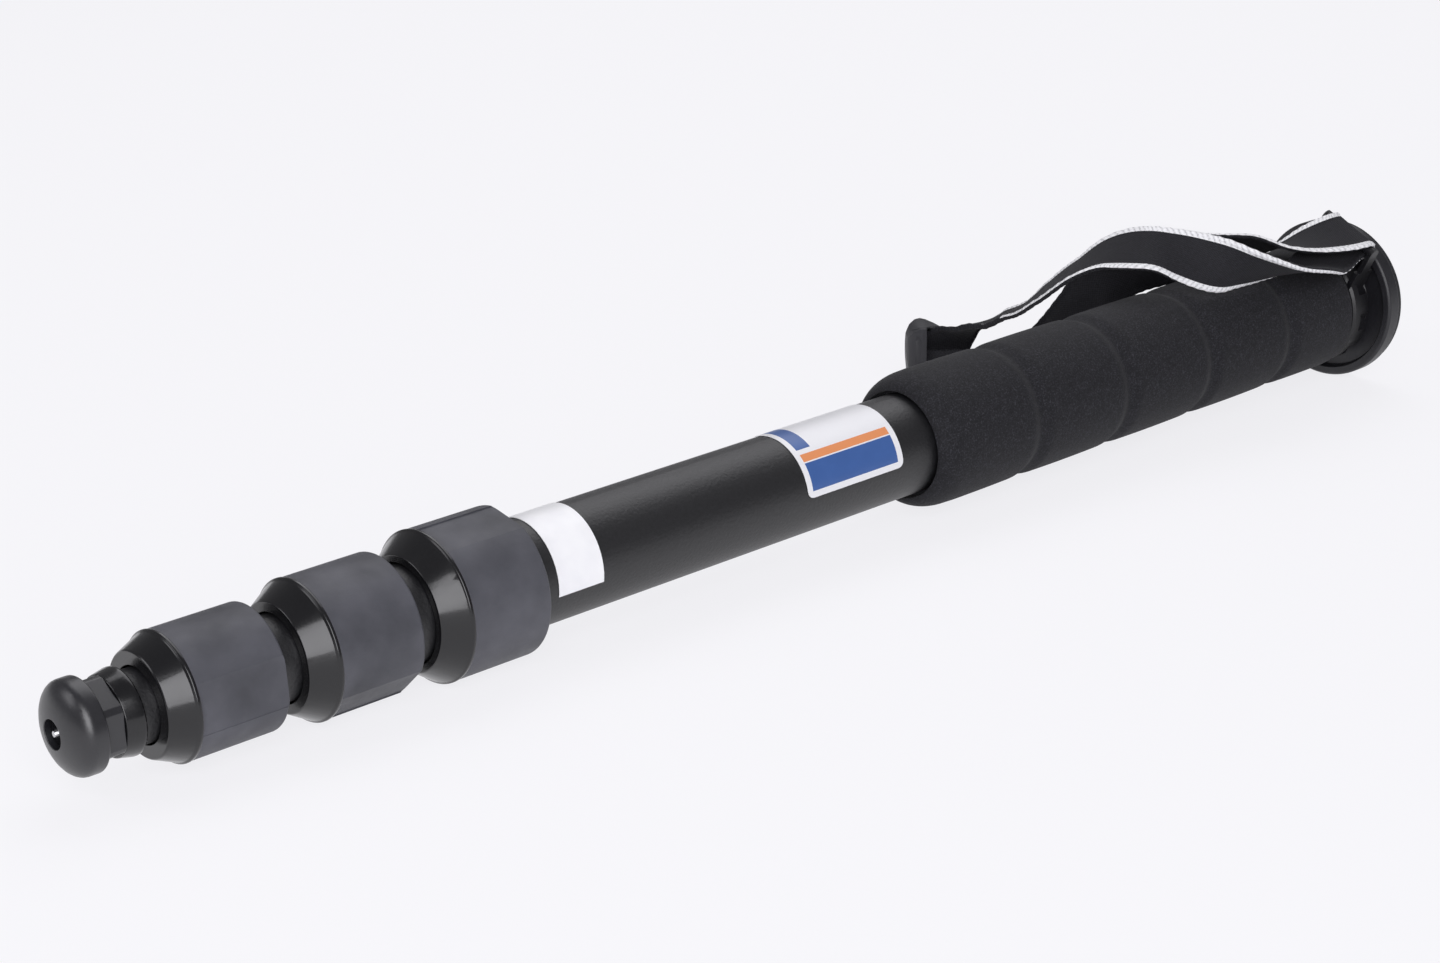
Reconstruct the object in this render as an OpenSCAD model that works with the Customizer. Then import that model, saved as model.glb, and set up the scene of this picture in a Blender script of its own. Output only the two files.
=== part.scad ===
// Four-section twist-lock camera monopod, closed, lying on its side.
// Frame: origin at the middle of the camera plate's pad, +X out of the head along the camera stud, +Z up as it lies. Millimetres.
// Along the monopod, u is the distance from the pad's face towards the foot, so x = -u.

/* [Tubes] */
// Outer radius of the main tube
tube_1_r = 16; // [14:0.5:20]
// Step in radius from one tube to the next
tube_step = 2; // [1.6:0.1:2.4]
// Wall of every tube
tube_wall = 1.2; // [0.9:0.1:1.4]
// Where the main tube starts under the grip
tube_1_top = 20; // [18:0.5:24]
// Where the second tube's top end lies when closed
tube_2_top = 56; // [54:0.5:60]
// Where the third tube's top end lies when closed
tube_3_top = 62; // [60:0.5:68]
// Where the fourth tube's top end lies when closed
tube_4_top = 68; // [66:0.5:76]
// Play of a guide bush in the tube around it
slide_play = 0.08; // [0.05:0.01:0.1]
// Play left by a glued or pressed seat
seat_play = 0.02; // [0:0.01:0.04]

/* [Camera plate] */
// Radius of the camera plate
plate_r = 28.3; // [24:0.1:34]
// Thickness of the plate under its pad
plate_t = 6; // [4:0.5:9]
// Thickness of the pad on the plate
pad_t = 2; // [1:0.25:3]
// How far the pad stays inside the plate's rim
pad_inset = 0.7; // [0.3:0.1:2]
// Radius of the hole in the pad
pad_hole_r = 7; // [6:0.25:9]
// Depth of the ring recess under the plate
recess_t = 2.6; // [1:0.1:3.5]
// Width of the plate's rim around the recess
rim_w = 3; // [2:0.25:5]
// Bevel of the plate's edges
plate_bevel = 0.7; // [0.3:0.1:1]
// Radius of the camera stud's quarter-inch end
stud_r = 3.175; // [3.175:0.001:3.175]
// Radius of the camera stud's three-eighths end
stud_big_r = 4.7625; // [4.7625:0.0001:4.7625]
// How far the stud stands out of the pad
stud_out = 5.5; // [4.5:0.25:6]
// How far the stud reaches down from the plate's top
stud_in = 9; // [7:0.5:10]
// Play of the stud's thread in the plate
stud_play = 0.05; // [0.02:0.01:0.08]
// Width of the driver slot in the stud's end
slot_w = 1.2; // [0.8:0.1:1.6]
// Depth of the driver slot
slot_t = 1.2; // [0.8:0.1:1.6]
// Radius of a plate screw's shank
screw_r = 1.5; // [1.25:0.05:2]
// Radius of a plate screw's head
screw_head_r = 2.7; // [2.4:0.1:3]
// Height of a plate screw's head
screw_head_t = 1.8; // [1.4:0.1:2.2]
// Length of a plate screw's shank
screw_len = 12; // [10:0.5:16]
// Radius of the circle of plate screws
screw_ring_r = 10.6; // [9.8:0.1:11.4]
// Play around the plate screws
screw_play = 0.1; // [0.05:0.01:0.2]

/* [Head and strap collar] */
// Radius of the neck between plate and tube
neck_r = 15; // [14.5:0.1:15.5]
// How far the head plug reaches into the tube
plug_len = 24; // [18:1:26]
// Outer radius of the strap collar
collar_r = 21.2; // [20:0.1:22]
// Gap between plate and strap collar
collar_gap = 1.8; // [1:0.1:2.5]
// Length of the strap collar
collar_len = 9; // [8:0.25:9.5]
// Radius of the finger scallops around the collar
scallop_r = 4.2; // [3.5:0.1:5]
// How deep the scallops are cut
scallop_t = 1.6; // [1:0.1:2.2]
// Angle of the strap bar from straight up towards the near side
lug_turn = 26; // [0:1:45]
// Distance of the strap bar from the monopod's axis
bar_r = 30.8; // [29.5:0.1:32]
// Radius of the strap bar
bar_pin_r = 1.5; // [1.2:0.1:1.8]
// Half the opening between the lug's cheeks
lug_half = 10.1; // [9.9:0.1:11]
// Thickness of a lug cheek
cheek_t = 1.8; // [1.6:0.1:2.6]
// Radius of a cheek's end around the bar
cheek_end_r = 2.2; // [2.1:0.1:2.8]
// How far a cheek stays wide beyond the collar
cheek_rise = 2; // [1:0.1:3]
// Play of the strap bar in the cheeks
bar_play = 0.02; // [0:0.01:0.04]

/* [Foam grip] */
// Outer radius of the foam grip
grip_r = 22.07; // [20:0.01:24]
// Length of the foam grip
grip_len = 207; // [190:1:230]
// Distance between the grip's ring grooves
groove_pitch = 42.7; // [38:0.1:46]
// Where the first ring groove lies
groove_first = 54.6; // [50:0.1:60]
// Radius of a ring groove
groove_r = 2; // [1.5:0.1:3]
// Depth of a ring groove
groove_t = 1.3; // [0.8:0.1:1.8]
// Rounding of the grip's front end
nose_r = 4.6; // [3:0.1:4.7]
// Length of the rounded front end
nose_len = 10; // [6:0.5:14]
// Rounding of the grip's rear end
tail_r = 1.6; // [1:0.1:2]
// Depth of the recess in the grip's front end
mouth_t = 3; // [2:0.25:6]
// Radius of that recess
mouth_r = 17.2; // [16.8:0.1:17.4]

/* [Strap] */
// Width of the webbing
strap_w = 19; // [18:0.5:21]
// Thickness of the webbing
strap_t = 1.3; // [1:0.1:1.6]
// Width of the moulded keeper across the loop
keeper_w = 13; // [12:0.5:15]
// Length of the keeper along the loop
keeper_len = 15; // [14:0.5:18]
// Height of the keeper
keeper_h = 26.6; // [24:0.1:28]
// Width of the pocket that the strap's ends go into
pocket_w = 10; // [9:0.25:10.5]
// How far the pocket goes past the keeper's middle, at its top
pocket_end = 4; // [3.5:0.1:4.4]
// Lean of the pocket's end
pocket_lean = 4.5; // [4:0.5:7]
// Rim of the keeper's near wall, before its middle
near_rim = 0.3; // [0:0.1:2]
// Where the keeper lies, from the pad's middle
keeper_x = -134.7; // [-140:0.5:-130]
// How far the keeper lies to the far side
keeper_y = 78.2; // [76:0.5:84]
// Height of the keeper's foot against the axis
keeper_z = -25.6; // [-27:0.1:-24]

/* [Twist locks] */
// Where the first lock's sleeve starts
lock_start = 382.7; // [370:0.1:390]
// Distance from one lock to the next
lock_pitch = 41.1; // [40:0.1:43]
// Length of a rubber sleeve
sleeve_len = 26.2; // [25:0.1:27]
// How far a sleeve stands out over its tube
sleeve_over = 5.7; // [5.2:0.1:6]
// Thickness of a rubber sleeve
sleeve_t = 2.9; // [2.6:0.1:3]
// Rounding of a sleeve's rear edge
sleeve_edge = 1.1; // [0.6:0.1:1.4]
// Depth of a sleeve's two finger flats
flat_t = 1.6; // [1.4:0.1:2]
// Width of a finger flat between its two steps
flat_w = 14; // [12:0.5:15]
// Turn of the first lock's flats
flat_turn_1 = -10; // [-180:1:180]
// Turn of the second lock's flats
flat_turn_2 = 44; // [-180:1:180]
// Turn of the third lock's flats
flat_turn_3 = -85; // [-180:1:180]
// Thickness of the lip in front of a sleeve
lip_t = 1; // [0.6:0.1:1.4]
// Length of a lock's nose cone with its lip
cone_len = 8; // [7:0.1:8.6]
// Front radius of the first nose cone
cone_1_r = 16.3; // [15.6:0.1:17]
// Front radius of the second nose cone
cone_2_r = 15; // [14:0.1:15.4]
// Front radius of the third nose cone
cone_3_r = 14; // [12.4:0.1:14.4]
// How deep a tube reaches into its lock
tube_in_lock = 16; // [15:0.5:17]
// Thickness of a threaded ferrule
ferrule_t = 1.6; // [1.4:0.1:1.8]
// Where a ferrule starts in its lock
ferrule_start = 3; // [2.6:0.1:4]
// Play of a lock's thread on its ferrule
thread_play = 0.1; // [0.08:0.01:0.12]
// Thickness of the inward lip at a lock's rear
rear_lip_t = 1.8; // [1.4:0.1:2.2]
// Play of a lock's rear lip around its tube
rear_lip_play = 0.3; // [0.25:0.05:0.5]
// Play of a lock's front bore around the next tube
front_play = 0.5; // [0.4:0.05:0.7]
// Wall of a collet at its thick end
collet_t = 1.6; // [1.4:0.1:1.7]
// Wall of a collet at its thin end
collet_tip_t = 0.9; // [0.7:0.1:1.1]
// Length of a collet
collet_len = 13; // [11:0.5:13.5]
// Play between a collet and its lock
collet_play = 0.15; // [0.12:0.01:0.3]
// Width of a collet's slit
slit_w = 1.6; // [1:0.1:2.4]

/* [Guide bushes] */
// Length of a guide bush
bush_len = 22; // [16:0.5:24]
// Thickness of a guide bush's end lip
bush_lip_t = 2; // [1.5:0.1:2.5]
// How far the end lip covers the tube's end
bush_lip_w = 2; // [1.4:0.1:2.6]

/* [Foot] */
// How far the fourth tube shows past the third lock
foot_gap = 3.6; // [2.9:0.1:4.4]
// Radius of the foot plug's flange
flange_r = 9.9; // [9:0.1:10]
// Thickness of that flange
flange_t = 1; // [0.8:0.1:1.1]
// How far the foot plug reaches into the tube
foot_plug_len = 20; // [16:0.5:22]
// Radius of the neck below the flange
foot_neck_r = 7; // [6.4:0.1:7.2]
// Length of that neck
foot_neck_len = 3.3; // [2.6:0.1:3.4]
// Radius of the foot's threaded stud
foot_stud_r = 4; // [3.5:0.1:4.2]
// Length of the threaded stud
foot_stud_len = 10; // [9:0.1:10.4]
// Radius of the spike's shank
spike_r = 2.3; // [2:0.1:2.4]
// Length of the spike's shank
spike_shank = 2.4; // [2:0.1:2.8]
// Length of the spike's point
spike_point = 3.5; // [3:0.1:3.5]
// Radius of the spike's blunt tip
spike_tip_r = 0.8; // [0.3:0.1:1]
// How far the spike is set into the stud
spike_root = 5; // [4:0.5:6]
// Radius of the spike's root
spike_root_r = 1.6; // [1.3:0.1:1.8]
// Distance from the fourth tube's end to the rubber foot
foot_off = 6; // [6:0.1:6.5]
// Length of the rubber foot's finger body
foot_body_len = 5.6; // [5:0.1:6.4]
// Radius of the finger body
foot_body_r = 11.2; // [10.6:0.1:11.6]
// Distance of the finger body's flats from the axis
foot_flat_r = 10.2; // [9.8:0.1:10.4]
// Radius of the foot's dome
dome_r = 12.8; // [12.2:0.1:13.4]
// Height of the straight part of the dome
dome_edge = 3.4; // [2:0.1:4]
// Height of the rounded part of the dome
dome_h = 6; // [5.6:0.1:6.6]
// Radius of the spike's hole in the dome
spike_hole_r = 4; // [3:0.1:4.3]
// Play of the neck in the foot's mouth
foot_mouth_play = 0.4; // [0.3:0.05:0.6]
// Depth of the foot's mouth
foot_mouth_t = 4.2; // [4.1:0.1:4.6]
// Outer radius of the foot's threaded bush
foot_bush_r = 6.6; // [6.2:0.1:6.8]
// Length of the threaded bush
foot_bush_len = 4.2; // [3.6:0.1:4.4]
// Play of the thread in the foot
foot_thread_play = 0.05; // [0.03:0.01:0.08]
// Play between the bush and the rubber foot that turns on it
foot_turn_play = 0.05; // [0.03:0.01:0.08]
// Depth of the room for the stud beyond the bush
foot_room_t = 4.2; // [4:0.1:4.4]
// Largest radius of the skirt behind the rubber foot
skirt_r = 11.8; // [11.4:0.1:12.2]
// Radius of the skirt where it meets the rubber foot
skirt_front_r = 10.9; // [10.6:0.1:11.4]
// Distance from the fourth tube's end to the skirt
skirt_off = 0.5; // [0.5:0.1:1.3]
// Thickness of the skirt's end wall
skirt_wall = 1.2; // [1:0.1:1.2]
// Rounding of the skirt's rear edge
skirt_edge = 0.7; // [0.4:0.1:0.9]
// Play of the skirt around the fourth tube
skirt_play = 0.35; // [0.3:0.05:0.5]

/* [Labels] */
// Thickness of a label
label_t = 0.15; // [0.1:0.05:0.3]
// Glue under a label
label_gap = 0.1; // [0.05:0.01:0.15]
// Gap between the grip's end and the tube label
label_from_grip = 14; // [4:0.5:16]
// Length of the tube label along the tube
label_len = 40; // [30:0.5:50]
// Angle that the tube label covers
label_angle = 118; // [80:1:150]
// Where the plain sticker starts
sticker_u = 360; // [330:0.5:364]
// Length of the plain sticker along the tube
sticker_len = 16; // [10:0.5:18]
// Angle that the plain sticker covers
sticker_angle = 140; // [80:1:160]

/* [Hidden] */
$fn = 96;

// Outer radius of tube k
function tube_r(k) = tube_1_r - (k - 1) * tube_step;
function tube_in(k) = tube_r(k) - tube_wall;
// Start of lock k, and what hangs on it
function lock_u(k) = lock_start + (k - 1) * lock_pitch;
function sleeve_r(k) = tube_r(k) + sleeve_over;
function seat_r(k) = sleeve_r(k) - sleeve_t;
function cone_r(k) = k == 1 ? cone_1_r : k == 2 ? cone_2_r : cone_3_r;
function flat_turn(k) = k == 1 ? flat_turn_1 : k == 2 ? flat_turn_2 : flat_turn_3;
function tube_end(k) = k == 4 ? tube_4_end : lock_u(k) + tube_in_lock;
function tube_top(k) = k == 1 ? tube_1_top : k == 2 ? tube_2_top : k == 3 ? tube_3_top : tube_4_top;

plate_end = pad_t + plate_t;
collar_start = plate_end + collar_gap;
collar_end = collar_start + collar_len;
collar_mid = collar_start + collar_len / 2;
grip_end = tube_1_top + grip_len;
label_u = grip_end + label_from_grip;
sleeve_end = sleeve_len;
lock_end = sleeve_len + cone_len;
collet_start = tube_in_lock + 0.4;
taper_start = collet_start + 1.6;
taper_end = collet_start + collet_len + 0.4;
tube_4_end = lock_u(3) + lock_end + foot_gap;
foot_start = tube_4_end + foot_off;
skirt_start = tube_4_end + skirt_off;
flange_end = tube_4_end + flange_t;
neck_end = flange_end + foot_neck_len;
foot_stud_end = neck_end + foot_stud_len;
dome_start = foot_start + foot_body_len;
dome_end = dome_start + dome_edge + dome_h;
foot_bush_start = foot_start + foot_mouth_t;
foot_bush_end = foot_bush_start + foot_bush_len;

// Puts a piece drawn along u onto the monopod's axis
module along() {
    rotate([0, -90, 0]) children();
}

// A plain ring from u0 to u1
module ring(ro, ri, u0, u1) {
    translate([0, 0, u0]) difference() {
        cylinder(r = ro, h = u1 - u0);
        translate([0, 0, -1]) cylinder(r = ri, h = u1 - u0 + 2);
    }
}

// A quarter round from the angle a0 to a1 about a point, for the profiles
function arc(c, r, a0, a1, n) = [for (i = [0:n]) let (a = a0 + (a1 - a0) * i / n) [c[0] + r * cos(a), c[1] + r * sin(a)]];

// Rubber pad on the camera plate
module plate_pad() {
    color([0.1, 0.1, 0.1]) along() ring(plate_r - pad_inset, pad_hole_r, 0, pad_t);
}

// Round camera plate with a recess under its rim
module camera_plate() {
    color([0.16, 0.16, 0.17]) along() difference() {
        rotate_extrude() polygon([
            [stud_big_r + stud_play, pad_t], [plate_r - plate_bevel, pad_t], [plate_r, pad_t + plate_bevel],
            [plate_r, plate_end - plate_bevel], [plate_r - plate_bevel, plate_end], [plate_r - rim_w, plate_end],
            [plate_r - rim_w - 0.6, plate_end - recess_t], [neck_r + 2, plate_end - recess_t], [neck_r, plate_end],
            [stud_big_r + stud_play, plate_end]]);
        for (a = [0, 120, 240]) rotate([0, 0, a]) translate([screw_ring_r, 0, 0]) {
            cylinder(r = screw_r + screw_play, h = plate_end + 1);
            cylinder(r = screw_head_r + screw_play, h = pad_t + screw_head_t);
        }
    }
}

// Reversible camera stud, its quarter-inch end out
module camera_stud() {
    color([0.75, 0.75, 0.77]) along() difference() {
        union() {
            translate([0, 0, -stud_out]) cylinder(r1 = stud_r - 0.6, r2 = stud_r, h = 0.6);
            translate([0, 0, 0.6 - stud_out]) cylinder(r = stud_r, h = stud_out + pad_t);
            translate([0, 0, pad_t + 0.2]) cylinder(r = stud_big_r, h = stud_in);
        }
        translate([-slot_w / 2, -2 * stud_r, -stud_out - slot_t]) cube([slot_w, 4 * stud_r, 2 * slot_t]);
        translate([-slot_w / 2, -2 * stud_big_r, pad_t + 0.2 + stud_in - slot_t]) cube([slot_w, 4 * stud_big_r, 2 * slot_t]);
    }
}

// Three screws that hold the plate on the head plug
module plate_screws() {
    color([0.6, 0.6, 0.62]) along() for (a = [0, 120, 240]) rotate([0, 0, a]) translate([screw_ring_r, 0, pad_t + 0.1]) difference() {
        union() {
            cylinder(r = screw_head_r, h = screw_head_t - 0.1);
            cylinder(r = screw_r, h = screw_head_t + screw_len);
        }
        translate([0, 0, -1]) cylinder(r = 1.2, h = 2.1, $fn = 6);
    }
}

// Plug in the top of the main tube, with the neck that carries plate and strap collar
module head_plug() {
    color([0.12, 0.12, 0.13]) along() difference() {
        union() {
            translate([0, 0, plate_end]) cylinder(r = neck_r, h = tube_1_top - plate_end);
            translate([0, 0, tube_1_top - 1]) cylinder(r = tube_in(1) - seat_play, h = plug_len + 1);
        }
        translate([0, 0, plate_end - 1]) cylinder(r = stud_big_r + 0.4, h = stud_in + pad_t - plate_end + 2.2);
        translate([0, 0, tube_1_top + 4]) cylinder(r = tube_in(1) - 3, h = plug_len);
        for (a = [0, 120, 240]) rotate([0, 0, a]) translate([screw_ring_r, 0, plate_end - 1])
            cylinder(r = screw_r + screw_play, h = pad_t + screw_head_t + screw_len - plate_end + 1.8);
    }
}

// Moulded collar under the plate, with finger scallops and the lug for the strap
module strap_collar() {
    color([0.13, 0.13, 0.14]) along() difference() {
        union() {
            difference() {
                translate([0, 0, collar_start]) {
                    cylinder(r1 = collar_r - 1.2, r2 = collar_r, h = 1.2);
                    translate([0, 0, 1.2]) cylinder(r = collar_r, h = collar_len - 2);
                    translate([0, 0, collar_len - 0.8]) cylinder(r1 = collar_r, r2 = collar_r - 0.8, h = 0.8);
                }
                for (a = [72:36:324]) rotate([0, 0, a - lug_turn]) translate([collar_r + scallop_r - scallop_t, 0, collar_start - 1])
                    cylinder(r = scallop_r, h = collar_len * 0.6 + 1);
            }
            for (s = [-1, 1]) rotate([0, 0, -lug_turn]) {
                translate([0, s * (lug_half + cheek_t / 2) - cheek_t / 2, collar_start]) cube([collar_r + cheek_rise, cheek_t, collar_len]);
                translate([0, s * (lug_half + cheek_t / 2) - cheek_t / 2, collar_mid - cheek_end_r]) cube([bar_r, cheek_t, 2 * cheek_end_r]);
                translate([bar_r, s * (lug_half + cheek_t / 2) + cheek_t / 2, collar_mid]) rotate([90, 0, 0]) cylinder(r = cheek_end_r, h = cheek_t);
            }
        }
        translate([0, 0, collar_start - 1]) cylinder(r = neck_r + seat_play, h = collar_len + 2);
        rotate([0, 0, -lug_turn]) translate([bar_r, lug_half + cheek_t + 1, collar_mid]) rotate([90, 0, 0])
            cylinder(r = bar_pin_r + bar_play, h = 2 * (lug_half + cheek_t) + 2);
    }
}

// Steel bar that the strap is folded around
module strap_bar() {
    color([0.6, 0.6, 0.62]) along() rotate([0, 0, -lug_turn]) translate([bar_r, lug_half + cheek_t, collar_mid]) rotate([90, 0, 0])
        cylinder(r = bar_pin_r, h = 2 * (lug_half + cheek_t));
}

// The strap's route, each point with the way across the webbing
strap_route = [
    [[-133.1, 80, -12.9], [-0.1, 0, 1]],
    [[-129.9, 78, -11.8], [-0.15, -0.15, 1]],
    [[-125.5, 72, -5], [-0.2, -0.45, 0.85]],
    [[-122.5, 66, 0], [-0.5, -0.75, 0.5]],
    [[-119.8, 57.4, 4.1], [-0.58, -0.77, 0.26]],
    [[-117.6, 48.4, 9.5], [-0.63, -0.71, 0.32]],
    [[-117.2, 38.2, 17.6], [-0.69, -0.7, 0.19]],
    [[-114.6, 26.5, 27.8], [-0.67, -0.74, 0.12]],
    [[-108.2, 16.6, 34.8], [-0.65, -0.71, -0.27]],
    [[-104.1, 4, 37.6], [-0.57, -0.62, -0.53]],
    [[-96.8, -2.1, 35.3], [-0.42, -0.46, -0.78]],
    [[-86.3, -10.1, 31.3], [-0.12, -0.11, -0.99]],
    [[-76.2, -16.2, 28.4], [0, 0.6, -0.8]],
    [[-61.9, -19.2, 25.1], [-0.01, 0.9, -0.43]],
    [[-48.1, -19.6, 23.2], [0.02, 0.98, -0.19]],
    [[-36, -17.2, 22.9], [0, 0.97, 0.23]],
    [[-28, -15, 23.7], [0, 0.92, 0.39]],
    [[-20.5, -12.8, 24.8], [0, 0.9, 0.435]],
    [[-14.4, -12.45, 25.53], [0, 0.899, 0.438]],
    [[-12.6, -12.76, 26.15], [0, 0.899, 0.438]],
    [[-11.9, -13.5, 27.68], [0, 0.899, 0.438]],
    [[-12.6, -14.25, 29.21], [0, 0.899, 0.438]],
    [[-14.4, -14.55, 29.84], [0, 0.899, 0.438]],
    [[-21, -14.7, 30.2], [0, 0.91, 0.41]],
    [[-30.8, -11.8, 29.3], [0.17, 0.96, 0.2]],
    [[-41.7, -5.1, 27.3], [0.43, 0.87, -0.24]],
    [[-50, 4, 27.7], [0.42, 0.68, -0.6]],
    [[-58, 13.6, 24.8], [0.3, 0.42, -0.86]],
    [[-70, 21.5, 23.2], [0, 0.1, -1]],
    [[-82, 27.5, 21], [0, 0, -1]],
    [[-93, 33.5, 16], [-0.15, -0.2, -0.95]],
    [[-100, 41, 4], [-0.4, -0.55, -0.7]],
    [[-107, 50, -7], [-0.5, -0.8, -0.2]],
    [[-117, 60, -13], [-0.4, -0.8, 0.5]],
    [[-124, 68, -16], [-0.15, -0.4, 0.9]],
    [[-132.7, 74.4, -17], [-0.1, -0.2, 1]],
    [[-136.3, 76.4, -17], [0, 0, 1]]];

// The bar's place, and the place that the route was drawn for; points near the bar go with it
bar_at = [-collar_mid, -bar_r * sin(lug_turn), bar_r * cos(lug_turn)];
bar_drawn = [-14.3, -13.5, 27.68];
fold_near = 4;
fold_far = 30;
function with_bar(p) = p + (bar_at - bar_drawn) * max(0, min(1, (fold_far - norm(p - bar_drawn)) / (fold_far - fold_near)));
strap_line = [for (q = strap_route) [with_bar(q[0]), q[1]]];

// A point of a smooth curve through four points, and the curve through a list of them
function curve(a, b, c, d, t) = 0.5 * (2 * b + (c - a) * t + (2 * a - 5 * b + 4 * c - d) * t * t + (3 * b - a - 3 * c + d) * t * t * t);
function route(j, s) = let (n = len(strap_line) - 1, i = min(n - 1, floor(s)))
    curve(strap_line[max(0, i - 1)][j], strap_line[i][j], strap_line[i + 1][j], strap_line[min(n, i + 2)][j], s - i);
function unit(v) = v / norm(v);

// Webbing swept along the route
module strap() {
    steps = 3;
    n = (len(strap_line) - 1) * steps;
    rings = [for (i = [0:n]) let (
        s = i / steps, p = route(0, s),
        t = unit(route(0, min(n / steps, s + 0.05)) - route(0, max(0, s - 0.05))),
        w0 = route(1, s), w = unit(w0 - (w0 * t) * t), m = cross(t, w))
        each [p + w * strap_w / 2 + m * strap_t / 2, p - w * strap_w / 2 + m * strap_t / 2, p - w * strap_w / 2 - m * strap_t / 2, p + w * strap_w / 2 - m * strap_t / 2]];
    sides = [for (i = [0:n - 1], k = [0:3]) let (a = i * 4 + k, b = i * 4 + (k + 1) % 4)
        each k < 2 ? [[a, b + 4, b], [a, a + 4, b + 4]] : [[a, a + 4, b], [b, a + 4, b + 4]]];
    color([0.09, 0.09, 0.1]) polyhedron(rings, concat([[0, 1, 2], [0, 2, 3]], sides, [[4 * n, 4 * n + 2, 4 * n + 1], [4 * n, 4 * n + 3, 4 * n + 2]]));
}

// Outline of the keeper from the side, as shares of its length and height
keeper_side = [[0.3, 0], [0.31, 0.19], [0.36, 0.38], [0.4, 0.56], [0.42, 0.71], [0.38, 0.85], [0.27, 0.94], [0.13, 0.99], [0, 1],
    [-0.13, 0.98], [-0.33, 0.925], [-0.55, 0.85], [-0.58, 0.81], [-0.58, 0.07], [-0.51, 0]];

// Moulded keeper that joins the two ends of the strap, with a shorter wall on the near side
module strap_keeper() {
    round_at = 0.42 * keeper_len - keeper_w / 2;
    color([0.3, 0.3, 0.32]) translate([keeper_x, keeper_y, keeper_z]) rotate([0, 0, 144]) difference() {
        intersection() {
            translate([0, keeper_w / 2, 0]) rotate([90, 0, 0]) linear_extrude(keeper_w)
                polygon([for (q = keeper_side) [q[0] * keeper_len, q[1] * keeper_h]]);
            linear_extrude(keeper_h) union() {
                translate([round_at, 0]) circle(d = keeper_w);
                translate([round_at - keeper_len, -keeper_w / 2]) square([keeper_len, keeper_w]);
            }
        }
        translate([pocket_end - pocket_w / 2, 0, keeper_h]) rotate([0, pocket_lean, 0]) translate([0, 0, -2 * keeper_h]) linear_extrude(3 * keeper_h) union() {
            circle(d = pocket_w);
            translate([-2 * keeper_len, -pocket_w / 2]) square([2 * keeper_len, pocket_w]);
        }
        translate([-2 * keeper_len - near_rim, 0, -keeper_h]) cube([2 * keeper_len, keeper_w, 3 * keeper_h]);
    }
}

// Foam grip with ring grooves, a rounded front end and a recess around the tube
module foam_grip() {
    color([0.14, 0.14, 0.15]) along() difference() {
        rotate_extrude() polygon(concat(
            [[tube_1_r + seat_play, tube_1_top]],
            arc([grip_r - tail_r, tube_1_top + tail_r], tail_r, -90, 0, 4),
            [for (a = [0:11.25:90]) [grip_r - nose_r + nose_r * cos(a), grip_end - nose_len + nose_len * sin(a)]],
            [[mouth_r, grip_end], [mouth_r, grip_end - mouth_t], [tube_1_r + seat_play, grip_end - mouth_t]]));
        for (i = [0:3]) translate([0, 0, groove_first + i * groove_pitch]) rotate_extrude()
            translate([grip_r + groove_r - groove_t, 0]) circle(r = groove_r, $fn = 24);
    }
}

// Tube k from its top end to the end inside its lock
module tube(k) {
    color([0.13, 0.13, 0.14]) along() ring(tube_r(k), tube_in(k), tube_top(k), tube_end(k));
}
module main_tube() { tube(1); }
module tube_2() { tube(2); }
module tube_3() { tube(3); }
module tube_4() { tube(4); }

// A label wrapped on the main tube, starting at an angle from straight up towards the far side
module wrap(u, l, start, angle) {
    along() translate([0, 0, u]) rotate([0, 0, start]) rotate_extrude(angle = angle)
        translate([tube_1_r + label_gap, 0]) square([label_t, l]);
}
module tube_label() { color([0.85, 0.85, 0.87]) wrap(label_u, label_len, 31 - label_angle, label_angle); }
module plain_sticker() { color([0.9, 0.9, 0.9]) wrap(sticker_u, sticker_len, 42 - sticker_angle, sticker_angle); }

// Threaded ferrule glued on the lower end of tube k
module ferrule(k) {
    color([0.6, 0.6, 0.62]) along() translate([0, 0, lock_u(k)])
        ring(tube_r(k) + ferrule_t, tube_r(k) + seat_play, ferrule_start, tube_in_lock);
}
module ferrule_1() { ferrule(1); }
module ferrule_2() { ferrule(2); }
module ferrule_3() { ferrule(3); }

// Slit taper bush that the lock squeezes onto the next tube
module collet(k) {
    r = tube_r(k + 1) + slide_play;
    color([0.8, 0.8, 0.78]) along() translate([0, 0, lock_u(k) + collet_start]) difference() {
        cylinder(r1 = r + collet_t, r2 = r + collet_tip_t, h = collet_len);
        translate([0, 0, -1]) cylinder(r = r, h = collet_len + 2);
        translate([0, -slit_w / 2, -1]) cube([2 * r, slit_w, collet_len + 2]);
    }
}
module collet_1() { collet(1); }
module collet_2() { collet(2); }
module collet_3() { collet(3); }

// Lock nut: rear lip, thread over the ferrule, taper over the collet and nose cone
module lock_collar(k) {
    bore = tube_r(k) + ferrule_t + thread_play;
    tap = tube_r(k + 1) + slide_play + collet_play;
    color([0.07, 0.07, 0.07]) along() translate([0, 0, lock_u(k)]) rotate_extrude() polygon([
        [tube_r(k) + rear_lip_play, 0.6], [seat_r(k) - 0.4, 0.6], [seat_r(k), 1], [seat_r(k), sleeve_end + seat_play],
        [sleeve_r(k) + 0.2, sleeve_end + seat_play], [sleeve_r(k) + 0.2, sleeve_end + lip_t],
        [sleeve_r(k) - 0.4, sleeve_end + lip_t + 0.3], [cone_r(k) + 0.5, lock_end - 0.3], [cone_r(k), lock_end],
        [tube_r(k + 1) + front_play, lock_end], [tube_r(k + 1) + front_play, taper_end],
        [tap + collet_tip_t, taper_end], [tap + collet_t, taper_start], [bore, taper_start],
        [bore, 0.6 + rear_lip_t], [tube_r(k) + rear_lip_play, 0.6 + rear_lip_t]]);
}
module lock_1_collar() { lock_collar(1); }
module lock_2_collar() { lock_collar(2); }
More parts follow.
